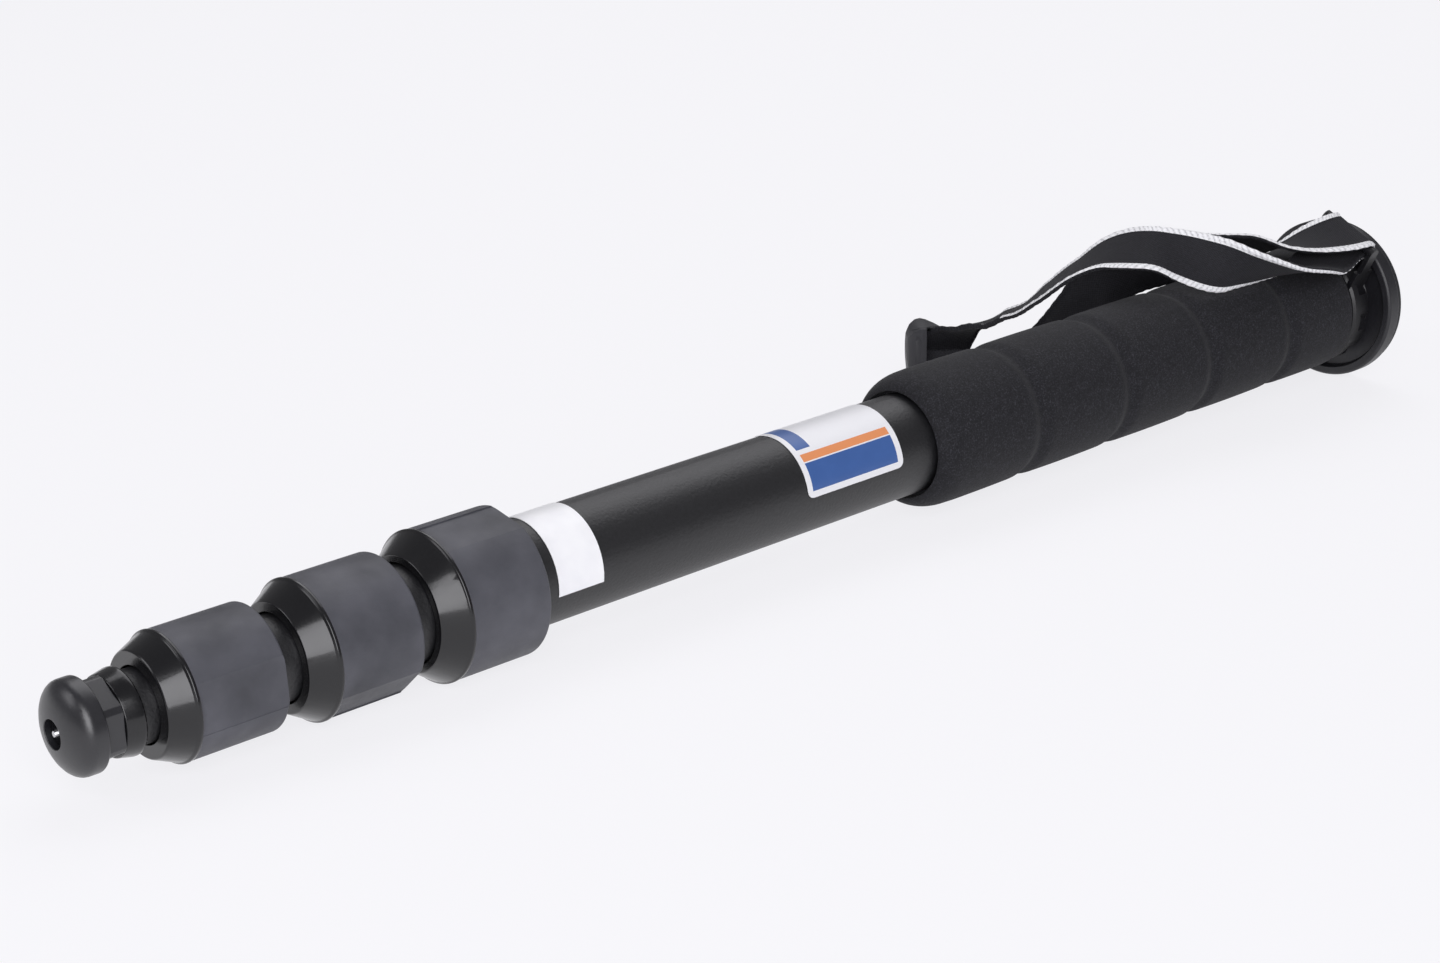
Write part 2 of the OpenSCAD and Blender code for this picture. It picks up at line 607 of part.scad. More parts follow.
module lock_3_collar() { lock_collar(3); }

// Rubber sleeve with two finger flats
module lock_sleeve(k) {
    color([0.28, 0.29, 0.3]) along() translate([0, 0, lock_u(k)]) difference() {
        rotate_extrude() polygon(concat(
            [[seat_r(k) + seat_play, 0]],
            arc([sleeve_r(k) - sleeve_edge, sleeve_edge], sleeve_edge, -90, 0, 5),
            [[sleeve_r(k), sleeve_end], [seat_r(k) + seat_play, sleeve_end]]));
        for (s = [0, 180]) rotate([0, 0, flat_turn(k) + s]) translate([sleeve_r(k) - flat_t, -flat_w / 2, -flat_t])
            cube([3 * flat_t, flat_w, sleeve_end + 2 * flat_t]);
    }
}
module lock_1_sleeve() { lock_sleeve(1); }
module lock_2_sleeve() { lock_sleeve(2); }
module lock_3_sleeve() { lock_sleeve(3); }

// Plastic guide bush on the top end of tube k
module guide_bush(k) {
    u = tube_top(k);
    color([0.75, 0.75, 0.73]) along() difference() {
        translate([0, 0, u - bush_lip_t]) cylinder(r = tube_in(k - 1) - slide_play, h = bush_len);
        translate([0, 0, u]) cylinder(r = tube_r(k) + seat_play, h = bush_len);
        translate([0, 0, u - bush_lip_t - 1]) cylinder(r = tube_r(k) - bush_lip_w, h = bush_len);
    }
}
module guide_bush_2() { guide_bush(2); }
module guide_bush_3() { guide_bush(3); }
module guide_bush_4() { guide_bush(4); }

// Plug in the lower end of the fourth tube, with flange, neck and threaded stud
module foot_plug() {
    color([0.1, 0.1, 0.1]) along() difference() {
        union() {
            translate([0, 0, tube_4_end - foot_plug_len]) cylinder(r = tube_in(4) - seat_play, h = foot_plug_len + 0.5);
            translate([0, 0, tube_4_end]) cylinder(r = flange_r, h = flange_t);
            translate([0, 0, flange_end - 0.5]) cylinder(r = foot_neck_r, h = foot_neck_len + 0.5);
            translate([0, 0, neck_end - 0.5]) cylinder(r = foot_stud_r, h = foot_stud_len + 0.5);
        }
        translate([0, 0, foot_stud_end - spike_root]) cylinder(r = spike_root_r + seat_play, h = spike_root + 1);
    }
}

// Steel spike in the end of the stud
module spike() {
    color([0.8, 0.8, 0.82]) along() {
        translate([0, 0, foot_stud_end - spike_root + 0.2]) cylinder(r = spike_root_r, h = spike_root);
        translate([0, 0, foot_stud_end]) cylinder(r = spike_r, h = spike_shank);
        translate([0, 0, foot_stud_end + spike_shank]) cylinder(r1 = spike_r, r2 = spike_tip_r, h = spike_point);
    }
}

// Brass bush that runs on the stud's thread
module foot_bush() {
    color([0.75, 0.6, 0.3]) along() ring(foot_bush_r, foot_stud_r + foot_thread_play, foot_bush_start, foot_bush_end);
}

// Skirt behind the rubber foot, which slides over the fourth tube's end as the foot climbs
module foot_skirt() {
    bore = tube_r(4) + skirt_play;
    color([0.06, 0.06, 0.06]) along() rotate_extrude() polygon(concat(
        [[bore, skirt_start]],
        arc([skirt_r - skirt_edge, skirt_start + skirt_edge], skirt_edge, -90, 0, 4),
        [[skirt_r, skirt_start + 2 * skirt_edge], [skirt_front_r, foot_start], [foot_neck_r + foot_mouth_play, foot_start],
        [foot_neck_r + foot_mouth_play, foot_start - skirt_wall], [bore, foot_start - skirt_wall]]));
}

// Rubber foot: finger body with flats and a dome with the spike's hole
module foot_pad() {
    color([0.16, 0.16, 0.17]) along() difference() {
        union() {
            intersection() {
                translate([0, 0, foot_start]) cylinder(r = foot_body_r, h = foot_body_len + 0.5);
                translate([0, 0, foot_start - 1]) cylinder(r = foot_flat_r / cos(30), h = foot_body_len + 3, $fn = 6);
            }
            rotate_extrude() polygon(concat(
                [[0, dome_start], [dome_r - 0.4, dome_start], [dome_r, dome_start + 0.4]],
                [for (i = [0:10]) let (a = 90 * i / 10) [dome_r * cos(a), dome_start + dome_edge + dome_h * sin(a)]]));
        }
        translate([0, 0, foot_start - 1]) cylinder(r = foot_neck_r + foot_mouth_play, h = foot_mouth_t + 0.9);
        translate([0, 0, foot_bush_start - 0.2]) cylinder(r = foot_bush_r + foot_turn_play, h = foot_bush_len + 0.4);
        translate([0, 0, foot_bush_end]) cylinder(r = foot_stud_r + 0.6, h = foot_room_t);
        translate([0, 0, foot_bush_end]) cylinder(r = spike_hole_r, h = 3 * dome_h);
    }
}

plate_pad();
camera_plate();
camera_stud();
plate_screws();
head_plug();
strap_collar();
strap_bar();
strap();
strap_keeper();
foam_grip();
main_tube();
tube_label();
plain_sticker();
ferrule_1();
collet_1();
lock_1_collar();
lock_1_sleeve();
tube_2();
guide_bush_2();
ferrule_2();
collet_2();
lock_2_collar();
lock_2_sleeve();
tube_3();
guide_bush_3();
ferrule_3();
collet_3();
lock_3_collar();
lock_3_sleeve();
tube_4();
guide_bush_4();
foot_plug();
spike();
foot_bush();
foot_skirt();
foot_pad();
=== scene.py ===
import math

import bpy
from mathutils import Matrix, Vector


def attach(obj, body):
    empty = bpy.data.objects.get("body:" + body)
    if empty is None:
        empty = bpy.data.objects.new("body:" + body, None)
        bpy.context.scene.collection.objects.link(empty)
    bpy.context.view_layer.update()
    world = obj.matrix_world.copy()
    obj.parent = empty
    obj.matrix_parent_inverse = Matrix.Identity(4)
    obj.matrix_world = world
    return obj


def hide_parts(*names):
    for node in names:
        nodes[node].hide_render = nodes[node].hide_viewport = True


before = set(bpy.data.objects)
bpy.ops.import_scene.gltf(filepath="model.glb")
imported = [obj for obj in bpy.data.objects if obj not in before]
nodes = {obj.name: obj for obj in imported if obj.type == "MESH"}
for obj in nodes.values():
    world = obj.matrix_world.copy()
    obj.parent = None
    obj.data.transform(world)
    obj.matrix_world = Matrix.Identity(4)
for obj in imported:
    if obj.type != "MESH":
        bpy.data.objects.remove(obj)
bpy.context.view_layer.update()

scene = bpy.context.scene
scene.view_settings.view_transform = "Standard"
MM = 0.001

# Camera at the photograph's viewing angle: a 70 mm lens on a 36 mm sensor
CAMERA_AT = (-0.81523, -0.57255, 0.30297)
CAMERA_RIGHT = (0.74127, -0.67110, -0.01207)
CAMERA_UP = (0.24897, 0.25822, 0.93345)
CAMERA_FORWARD = (0.62332, 0.69495, -0.35849)
lens = bpy.data.cameras.new("photo_lens")
lens.lens, lens.sensor_width = 70, 36
lens.clip_start, lens.clip_end = 0.01, 50
camera = bpy.data.objects.new("photo_camera", lens)
scene.collection.objects.link(camera)
turn = Matrix((CAMERA_RIGHT, CAMERA_UP, [-c for c in CAMERA_FORWARD])).transposed()
camera.matrix_world = Matrix.Translation(CAMERA_AT) @ turn.to_4x4()
scene.camera = camera


def deselect():
    if bpy.context.object and bpy.context.object.mode != "OBJECT":
        bpy.ops.object.mode_set(mode="OBJECT")
    bpy.ops.object.select_all(action="DESELECT")


def activate(obj):
    deselect()
    obj.select_set(True)
    bpy.context.view_layer.objects.active = obj


def smooth(obj, angle=35):
    activate(obj)
    bpy.ops.object.shade_smooth_by_angle(angle=math.radians(angle))
    deselect()


def bare_mesh(name, points, edges=(), faces=()):
    mesh = bpy.data.meshes.new(name)
    mesh.from_pydata(points, edges, faces)
    obj = bpy.data.objects.new(name, mesh)
    scene.collection.objects.link(obj)
    return obj


def face_outward(obj):
    activate(obj)
    bpy.ops.object.mode_set(mode="EDIT")
    bpy.ops.mesh.select_all(action="SELECT")
    bpy.ops.mesh.normals_make_consistent(inside=False)
    bpy.ops.object.mode_set(mode="OBJECT")
    deselect()


def turned(name, profile, steps=128):
    """A closed profile of (u, radius) in millimetres, spun about the monopod's axis."""
    n = len(profile)
    edges = [(i, (i + 1) % n) for i in range(n)]
    obj = bare_mesh(name, [(-u * MM, 0, r * MM) for u, r in profile], edges)
    activate(obj)
    bpy.ops.object.mode_set(mode="EDIT")
    bpy.ops.mesh.select_all(action="SELECT")
    bpy.ops.mesh.spin(steps=steps, angle=math.tau, center=(0, 0, 0), axis=(1, 0, 0))
    bpy.ops.mesh.select_all(action="SELECT")
    bpy.ops.mesh.remove_doubles(threshold=1e-6)
    bpy.ops.mesh.normals_make_consistent(inside=False)
    bpy.ops.object.mode_set(mode="OBJECT")
    deselect()
    return obj


# Materials


class Finish:
    """A material under construction, with short names for the nodes that it needs."""

    def __init__(self, name):
        self.mat = bpy.data.materials.new(name)
        self.mat.use_nodes = True
        self.tree = self.mat.node_tree
        self.shader = self.tree.nodes["Principled BSDF"]
        self.place = self.add("ShaderNodeTexCoord").outputs["Object"]

    def add(self, kind, **values):
        node = self.tree.nodes.new(kind)
        for key, value in values.items():
            setattr(node, key, value)
        return node

    def link(self, a, b):
        self.tree.links.new(a, b)

    def set(self, **values):
        for key, value in values.items():
            socket = key.replace("_", " ").title().replace("Ior", "IOR")
            self.shader.inputs[socket].default_value = value
        return self

    def noise(self, scale, detail=3, rough=0.5, place=None):
        node = self.add("ShaderNodeTexNoise")
        node.inputs["Scale"].default_value = scale
        node.inputs["Detail"].default_value = detail
        node.inputs["Roughness"].default_value = rough
        self.link(place or self.place, node.inputs["Vector"])
        return node.outputs["Fac"]

    def cells(self, scale, place=None):
        node = self.add("ShaderNodeTexVoronoi")
        node.inputs["Scale"].default_value = scale
        self.link(place or self.place, node.inputs["Vector"])
        return node.outputs["Distance"]

    def math(self, operation, a, b=0.0, c=0.0):
        node = self.add("ShaderNodeMath", operation=operation)
        for socket, value in zip(node.inputs, (a, b, c)):
            if isinstance(value, (int, float)):
                socket.default_value = value
            else:
                self.link(value, socket)
        return node.outputs[0]

    def ramp(self, value, stops):
        node = self.add("ShaderNodeValToRGB")
        ramp = node.color_ramp
        while len(ramp.elements) < len(stops):
            ramp.elements.new(0.5)
        for element, (at, colour) in zip(ramp.elements, stops):
            element.position = at
            element.color = (*colour, 1) if len(colour) == 3 else colour
        self.link(value, node.inputs["Fac"])
        return node.outputs["Color"]

    def mix(self, share, a, b):
        node = self.add("ShaderNodeMix", data_type="RGBA")
        for socket, value in ((node.inputs[0], share), (node.inputs[6], a), (node.inputs[7], b)):
            if isinstance(value, tuple):
                socket.default_value = (*value, 1)
            elif isinstance(value, (int, float)):
                socket.default_value = value
            else:
                self.link(value, socket)
        return node.outputs[2]

    def colour(self, value):
        self.link(value, self.shader.inputs["Base Color"])
        return self

    def roughness(self, value, low, high):
        node = self.add("ShaderNodeMapRange")
        node.inputs["To Min"].default_value = low
        node.inputs["To Max"].default_value = high
        self.link(value, node.inputs["Value"])
        self.link(node.outputs["Result"], self.shader.inputs["Roughness"])
        return self

    def bump(self, height, distance, strength=1.0):
        node = self.add("ShaderNodeBump")
        node.inputs["Strength"].default_value = strength
        node.inputs["Distance"].default_value = distance
        self.link(height, node.inputs["Height"])
        if self.shader.inputs["Normal"].is_linked:
            self.link(self.shader.inputs["Normal"].links[0].from_socket, node.inputs["Normal"])
        self.link(node.outputs["Normal"], self.shader.inputs["Normal"])
        return self

    def stretched(self, x, y, z):
        node = self.add("ShaderNodeMapping")
        node.inputs["Scale"].default_value = (x, y, z)
        self.link(self.place, node.inputs["Vector"])
        return node.outputs["Vector"]


def moulded(name, dark, light, grain, depth, low, high):
    """Moulded plastic or rubber: slow colour drift, fine grain and a little change of gloss."""
    f = Finish(name)
    f.colour(f.ramp(f.noise(60, 4), [(0.3, dark), (0.72, light)]))
    f.roughness(f.noise(220, 5), low, high)
    f.bump(f.noise(grain, 2), depth)
    return f


def tint(v):
    """The slightly blue black of the moulded pieces."""
    return (v, v * 0.99, v * 1.2)


sleeve_rubber = moulded(
    "sleeve_rubber", (0.046, 0.047, 0.056), (0.092, 0.093, 0.109), 5200, 0.00005, 0.42, 0.64).mat
nose_finish = moulded("gloss_nose", tint(0.004), tint(0.006), 900, 0.00001, 0.2, 0.28)
nose_finish.set(specular_ior_level=0.45, coat_weight=0.3, coat_roughness=0.1)
gloss_nose = nose_finish.mat
head_plastic = moulded("head_plastic", tint(0.006), tint(0.01), 3800, 0.00003, 0.34, 0.46).mat
foot_finish = moulded("foot_rubber", tint(0.011), tint(0.018), 4200, 0.00002, 0.28, 0.38)
foot_finish.set(specular_ior_level=0.75)
foot_rubber = foot_finish.mat
pad_rubber = moulded("pad_rubber", tint(0.012), tint(0.018), 2600, 0.00008, 0.6, 0.75).mat
keeper_rubber = moulded("keeper_rubber", tint(0.016), tint(0.024), 3600, 0.00003, 0.44, 0.55).mat
dark_bar = moulded("dark_bar", tint(0.012), tint(0.02), 3000, 0.00002, 0.3, 0.42).mat
pale_plastic = moulded(
    "pale_plastic", (0.62, 0.61, 0.57), (0.7, 0.69, 0.66), 2400, 0.00002, 0.4, 0.5).mat


def tube_black():
    """Black anodised tube with a fine even texture."""
    f = Finish("tube_black")
    f.colour(f.ramp(f.noise(900, 4), [(0.3, tint(0.005)), (0.75, tint(0.009))]))
    f.set(specular_ior_level=0.75)
    f.roughness(f.noise(1500, 3), 0.4, 0.5)
    f.bump(f.noise(1100, 3, 0.6), 0.00022, 0.6)
    return f.mat


def turned_metal(name, dark, light, low, high):
    """Machined metal with fine rings about the monopod's axis."""
    f = Finish(name)
    f.set(metallic=1.0)
    rings = f.noise(1.0, 4, place=f.stretched(6000, 60, 60))
    f.colour(f.ramp(rings, [(0.3, dark), (0.7, light)]))
    f.roughness(f.noise(500, 4), low, high)
    f.bump(rings, 0.000015)
    return f.mat


steel = turned_metal("steel", (0.5, 0.5, 0.51), (0.68, 0.68, 0.7), 0.18, 0.3)
ferrule_metal = turned_metal("ferrule_metal", (0.5, 0.5, 0.52), (0.62, 0.62, 0.64), 0.28, 0.4)
bush_brass = turned_metal("bush_brass", (0.55, 0.4, 0.16), (0.68, 0.52, 0.25), 0.22, 0.34)


def plate_metal():
    f = Finish("plate_metal")
    f.colour(f.ramp(f.noise(120, 4), [(0.3, tint(0.013)), (0.75, tint(0.02))]))
    f.roughness(f.noise(600, 4), 0.36, 0.5)
    f.bump(f.noise(4200, 2), 0.00003)
    return f.mat


def foam():
    """Closed-cell foam: fine cells, a few open pores and a dull sheen."""
    f = Finish("foam")
    coarse = f.math("MULTIPLY", f.noise(420, 6, 0.65), 0.25)
    fine = f.math("MULTIPLY", f.noise(1900, 2, 0.7), 0.75)
    grain = f.math("ADD", coarse, fine)
    f.colour(f.ramp(grain, [(0.36, tint(0.008)), (0.52, tint(0.014)), (0.7, tint(0.042))]))
    f.set(sheen_weight=0.04, sheen_roughness=0.6, specular_ior_level=0.22)
    f.roughness(f.noise(900, 4), 0.72, 0.85)
    f.bump(f.cells(2600), 0.00012, 0.5)
    f.bump(f.noise(700, 5, 0.6), 0.00015, 0.6)
    return f.mat


def between(f, value, low, high):
    return f.math("MULTIPLY", f.math("GREATER_THAN", value, low), f.math("LESS_THAN", value, high))


RIB_PITCH = 1.15
PALE_OUT_FROM = 7.25


def webbing():
    """Black ribbed webbing with pale edges, on the strap's own map: across in u, along in v, in millimetres."""
    f = Finish("webbing")
    uv = f.add("ShaderNodeUVMap", uv_map="weave").outputs["UV"]
    split = f.add("ShaderNodeSeparateXYZ")
    f.link(uv, split.inputs[0])
    across, along = split.outputs[0], split.outputs[1]
    away = f.math("ABSOLUTE", across)
    edge = f.math("GREATER_THAN", away, PALE_OUT_FROM)
    rib = f.math("SINE", f.math("MULTIPLY", along, math.tau / RIB_PITCH))
    thread = f.math("SINE", f.math("MULTIPLY", across, math.tau / 0.72))
    weave = f.math("MULTIPLY", rib, thread)
    wisp = f.noise(1400, 4)
    body = f.ramp(f.math("ADD", f.math("MULTIPLY", weave, 0.25), wisp), [(0.25, tint(0.01)), (0.8, tint(0.024))])
    slant = f.math("ADD", f.math("MULTIPLY", along, math.tau / 1.9), f.math("MULTIPLY", away, 2.4))
    ply = f.math("SINE", slant)
    pale = [(0.15, (0.55, 0.55, 0.57)), (0.45, (0.84, 0.84, 0.85)), (0.8, (0.93, 0.93, 0.94))]
    rope = f.ramp(f.math("ADD", f.math("MULTIPLY", ply, 0.22), wisp), pale)
    f.colour(f.mix(edge, body, rope))
    f.set(sheen_weight=0.03, sheen_roughness=0.5, specular_ior_level=0.22)
    f.roughness(wisp, 0.62, 0.85)
    f.bump(f.math("MULTIPLY", weave, 0.5), 0.00012, 0.7)
    f.bump(wisp, 0.00008, 0.5)
    return f.mat


LABEL_U, LABEL_LEN = 241.0, 40.0
FILM_R = 16.2


def film(name, paint):
    """Printed film on the tube: millimetres around from straight up, and along from the pad."""
    f = Finish(name)
    split = f.add("ShaderNodeSeparateXYZ")
    f.link(f.place, split.inputs[0])
    along = f.math("MULTIPLY", split.outputs[0], -1000)
    around = f.math("MULTIPLY", f.math("ARCTAN2", split.outputs[1], split.outputs[2]), FILM_R)
    f.colour(paint(f, along, around))
    f.set(specular_ior_level=0.5)
    f.roughness(f.noise(300, 4), 0.28, 0.4)
    f.bump(f.noise(500, 3), 0.00002)
    return f.mat


def label_paint(f, along, around):
    """Plain blocks of colour on white film, with no lettering."""
    white, blue, orange = (0.86, 0.86, 0.88), (0.045, 0.11, 0.32), (0.8, 0.3, 0.12)
    drift = f.noise(200, 4)
    lengthwise = between(f, along, LABEL_U + 2.2, LABEL_U + LABEL_LEN - 2)
    field = f.math("MULTIPLY", lengthwise, between(f, around, -22.6, -13.9))
    line = f.math("MULTIPLY", lengthwise, between(f, around, -13.5, -10.9))
    far_end = between(f, along, LABEL_U + 32.4, LABEL_U + LABEL_LEN - 2)
    block = f.math("MULTIPLY", far_end, between(f, around, -9.2, 6.9))
    paper = f.mix(f.math("MULTIPLY", drift, 0.12), white, (0.7, 0.7, 0.72))
    ink = f.mix(drift, blue, (0.055, 0.13, 0.37))
    return f.mix(f.math("MAXIMUM", field, block), f.mix(line, paper, orange), ink)


def sticker_paint(f, along, around):
    return f.ramp(f.noise(150, 4), [(0.3, (0.9, 0.9, 0.92)), (0.7, (0.95, 0.95, 0.96))])


FINISHES = {
    "plate_pad": pad_rubber, "camera_plate": plate_metal(), "camera_stud": steel, "plate_screws": steel,
    "head_plug": head_plastic, "strap_collar": head_plastic, "strap_bar": dark_bar, "strap_keeper": keeper_rubber,
    "tube_label": film("tube_label_film", label_paint), "plain_sticker": film("plain_film", sticker_paint),
    "foot_plug": gloss_nose, "foot_skirt": gloss_nose, "spike": steel, "foot_bush": bush_brass,
    "foot_pad": foot_rubber,
}
black_tube = tube_black()
for name in ("main_tube", "tube_2", "tube_3", "tube_4"):
    FINISHES[name] = black_tube
for k in (1, 2, 3):
    FINISHES[f"ferrule_{k}"] = ferrule_metal
    FINISHES[f"collet_{k}"] = FINISHES[f"guide_bush_{k + 1}"] = pale_plastic
    FINISHES[f"lock_{k}_collar"] = gloss_nose
    FINISHES[f"lock_{k}_sleeve"] = sleeve_rubber
for name, mat in FINISHES.items():
    nodes[name].data.materials.clear()
    nodes[name].data.materials.append(mat)

# The strap, swept along the route of the part's source

STRAP_ROUTE = [
    ((-133.1, 80, -12.9), (-0.1, 0, 1)), ((-129.9, 78, -11.8), (-0.15, -0.15, 1)),
    ((-125.5, 72, -5), (-0.2, -0.45, 0.85)), ((-122.5, 66, 0), (-0.5, -0.75, 0.5)),
    ((-119.8, 57.4, 4.1), (-0.58, -0.77, 0.26)), ((-117.6, 48.4, 9.5), (-0.63, -0.71, 0.32)),
    ((-117.2, 38.2, 17.6), (-0.69, -0.7, 0.19)), ((-114.6, 26.5, 27.8), (-0.67, -0.74, 0.12)),
    ((-108.2, 16.6, 34.8), (-0.65, -0.71, -0.27)), ((-104.1, 4, 37.6), (-0.57, -0.62, -0.53)),
    ((-96.8, -2.1, 35.3), (-0.42, -0.46, -0.78)), ((-86.3, -10.1, 31.3), (-0.12, -0.11, -0.99)),
    ((-76.2, -16.2, 28.4), (0, 0.6, -0.8)), ((-61.9, -19.2, 25.1), (-0.01, 0.9, -0.43)),
    ((-48.1, -19.6, 23.2), (0.02, 0.98, -0.19)), ((-36, -17.2, 22.9), (0, 0.97, 0.23)),
    ((-28, -15, 23.7), (0, 0.92, 0.39)), ((-20.5, -12.8, 24.8), (0, 0.9, 0.435)),
    ((-14.4, -12.45, 25.53), (0, 0.899, 0.438)), ((-12.6, -12.76, 26.15), (0, 0.899, 0.438)),
    ((-11.9, -13.5, 27.68), (0, 0.899, 0.438)), ((-12.6, -14.25, 29.21), (0, 0.899, 0.438)),
    ((-14.4, -14.55, 29.84), (0, 0.899, 0.438)), ((-21, -14.7, 30.2), (0, 0.91, 0.41)),
    ((-30.8, -11.8, 29.3), (0.17, 0.96, 0.2)), ((-41.7, -5.1, 27.3), (0.43, 0.87, -0.24)),
    ((-50, 4, 27.7), (0.42, 0.68, -0.6)), ((-58, 13.6, 24.8), (0.3, 0.42, -0.86)),
    ((-70, 21.5, 23.2), (0, 0.1, -1)), ((-82, 27.5, 21), (0, 0, -1)),
    ((-93, 33.5, 16), (-0.15, -0.2, -0.95)), ((-100, 41, 4), (-0.4, -0.55, -0.7)),
    ((-107, 50, -7), (-0.5, -0.8, -0.2)), ((-117, 60, -13), (-0.4, -0.8, 0.5)),
    ((-124, 68, -16), (-0.15, -0.4, 0.9)), ((-132.7, 74.4, -17), (-0.1, -0.2, 1)),
    ((-136.3, 76.4, -17), (0, 0, 1)),
]
STRAP_HALF = 9.5
STRAP_THICK = 1.15
EDGE_R = 0.95
PALE_FROM, PALE_TO = 40.0, 352.0


def curve_point(a, b, c, d, t):
    return 0.5 * (2 * b + (c - a) * t + (2 * a - 5 * b + 4 * c - d) * t * t + (3 * b - a - 3 * c + d) * t ** 3)


def route_at(part, s):
    last = len(STRAP_ROUTE) - 1
    i = min(last - 1, int(s))
    picks = [STRAP_ROUTE[max(0, min(last, j))][part] for j in (i - 1, i, i + 1, i + 2)]
    return curve_point(*[Vector(p) for p in picks], s - i)


def strap_section(along):
    """The webbing's outline across, as (across, height) in millimetres, with twisted beads at both edges."""
    flat = STRAP_HALF - 1.9 * EDGE_R
    rib = 0.06 * math.sin(math.tau * along / RIB_PITCH)
    half = STRAP_THICK / 2
    points = []
    for i in range(9):
        w = -flat + 2 * flat * i / 8
        points.append((w, half * (1 - 0.12 * (1 - abs(w) / flat)) + rib))
    for side in (1, -1):
        for i in range(9):
            a = math.radians(120 - 240 * i / 8)
            ply = 1 + 0.11 * math.sin(3 * a - side * math.tau * along / 3.8)
            out = STRAP_HALF - EDGE_R + EDGE_R * ply * math.cos(a) * 0.98
            points.append((side * out, side * EDGE_R * ply * math.sin(a)))
        if side == 1:
            for i in range(9):
                w = flat - 2 * flat * i / 8
                points.append((w, -half * (1 - 0.12 * (1 - abs(w) / flat)) + rib))
    return points


def make_strap():
    fine = 24
    total = (len(STRAP_ROUTE) - 1) * fine
    samples = []
    travelled = 0.0
    for i in range(total + 1):
        s = i / fine
        p = route_at(0, s)
        t = (route_at(0, min(total / fine, s + 0.04)) - route_at(0, max(0, s - 0.04))).normalized()
        w = route_at(1, s)
        w = (w - w.dot(t) * t).normalized()
        if samples:
            travelled += (p - samples[-1][0]).length
        samples.append((p, w, t.cross(w), travelled))
    points, marks = [], []
    for p, w, m, along in samples:
        for across, height in strap_section(along):
            points.append((p + w * across + m * height) * MM)
            marks.append((across, along))
    n = len(strap_section(0))
    faces = []
    for i in range(total):
        for j in range(n):
            a, b = i * n + j, i * n + (j + 1) % n
            faces.append((a, b, b + n, a + n))
    faces.append(tuple(range(n))[::-1])
    faces.append(tuple(range(total * n, total * n + n)))
    obj = bare_mesh("strap_webbing", points, faces=faces)
    weave = obj.data.uv_layers.new(name="weave")
    for face in obj.data.polygons:
        # Only the webbing's outer face has the pale edges, narrower at the keeper
        reached = samples[min(total, face.index // n)][3]
        first, last = (14, 30) if reached > PALE_FROM else (17, 27)
        share = 1.0 if first <= face.index % n <= last and reached < PALE_TO else 0.7
        for k in face.loop_indices:
            across, along = marks[obj.data.loops[k].vertex_index]
            weave.data[k].uv = (across * share, along)
    face_outward(obj)
    smooth(obj, 60)
    obj.data.materials.append(webbing())
    return obj


strap = make_strap()
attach(strap, "upper")
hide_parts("strap")

# The foam grip


def arc(u, r, radius, start, end, count):
    angles = [math.radians(start + (end - start) * i / count) for i in range(count + 1)]
    return [(u + radius * math.sin(a), r + radius * math.cos(a)) for a in angles]


GRIP_START, GRIP_END, GRIP_R = 20.0, 227.0, 22.0
NOSE_LEN, NOSE_R = 10.0, 4.6
GROOVES = [54.6 + 42.7 * i for i in range(4)]
GROOVE_DEPTH, GROOVE_HALF = 1.3, 5.8
GRIP_BORE_R = 16.03


def grip_radius(u):
    """Each length of foam swells a little between its grooves."""
    stops = [GRIP_START - 4, *GROOVES, GRIP_END + 4]
    low = max(s for s in stops if s <= u)
    high = min(s for s in stops if s > u)
    return GRIP_R - 0.3 + 0.3 * math.sin(math.pi * (u - low) / (high - low)) ** 0.6


def make_grip():
    profile = [(GRIP_START, GRIP_BORE_R)] + arc(GRIP_START + 1.6, GRIP_R - 1.9, 1.6, -90, 0, 5)
    steps = [0.6 * i for i in range(-10, 11)]
    edges = [g + d for g in GROOVES for d in steps]
    plain = [GRIP_START + 4 + 4.2 * i for i in range(50)]
    plain = [u for u in plain if min(abs(u - g) for g in GROOVES) > 6.6]
    for u in sorted(edges + plain):
        if u > GRIP_END - NOSE_LEN - 1:
            continue
        off = min(abs(u - g) for g in GROOVES)
        dip = GROOVE_DEPTH * (0.5 + 0.5 * math.cos(math.pi * min(1.0, off / GROOVE_HALF))) ** 1.4
        profile.append((u, grip_radius(u) - dip))
    for i in range(13):
        a = math.pi / 2 * i / 12
        drop = NOSE_R * (1 - math.cos(a))
        profile.append((GRIP_END - NOSE_LEN * (1 - math.sin(a)), GRIP_R - 0.15 - drop))
    profile += [(GRIP_END - 0.4, 17.3), (GRIP_END - 3, 17.1), (GRIP_END - 3, GRIP_BORE_R)]
    obj = turned("foam_sleeve", profile, 144)
    smooth(obj, 40)
    obj.data.materials.append(foam())
    return obj


grip = make_grip()
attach(grip, "upper")
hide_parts("foam_grip")

# Rounded copies of moulded pieces


def applied(obj, kind, **values):
    """Adds a modifier with these values and applies it."""
    activate(obj)
    modifier = obj.modifiers.new(kind.lower(), kind)
    for key, value in values.items():
        setattr(modifier, key, value)
    bpy.ops.object.modifier_apply(modifier=modifier.name)
    deselect()


